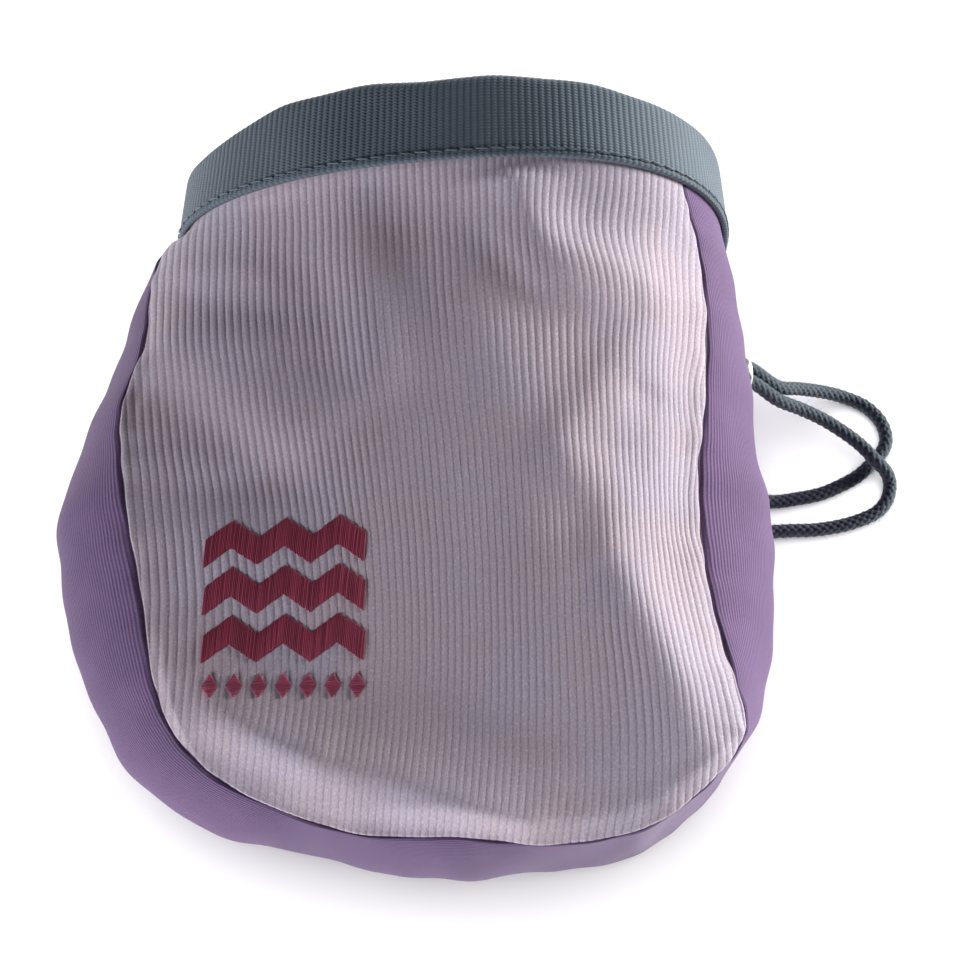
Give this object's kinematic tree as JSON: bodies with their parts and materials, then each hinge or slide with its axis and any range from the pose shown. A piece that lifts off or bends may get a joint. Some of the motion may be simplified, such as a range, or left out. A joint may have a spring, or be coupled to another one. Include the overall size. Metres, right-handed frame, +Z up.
{
  "type": "climbing chalk bag",
  "caption": "Soft drawstring chalk bag lying on its back: corduroy front panel, twill side strip, webbing rim round an open mouth, and a cord loop through an eyelet.",
  "frame": {"origin": "middle of the back panel's flat face, on the surface that the bag lies on, in the middle of its length and width", "axes": "+Y from the closed end to the mouth, +Z up out of the front panel, +X towards the side with the eyelet and the drawcord"},
  "size_m": [0.1993, 0.1711, 0.0784],
  "materials": {
    "lavender_corduroy": "corduroy",
    "purple_twill": "twill",
    "slate_webbing": "woven webbing",
    "slate_cord": "braided cord",
    "silver_metal": "polished"
  },
  "bodies": {
    "root": {"front_panel": "lavender_corduroy", "gusset": "purple_twill", "back_panel": "purple_twill", "rim_band": "slate_webbing", "eyelet": "silver_metal", "drawcord_upper": "slate_cord", "drawcord_lower": "slate_cord", "cord_knot": "slate_cord"}
  },
  "joints": []
}
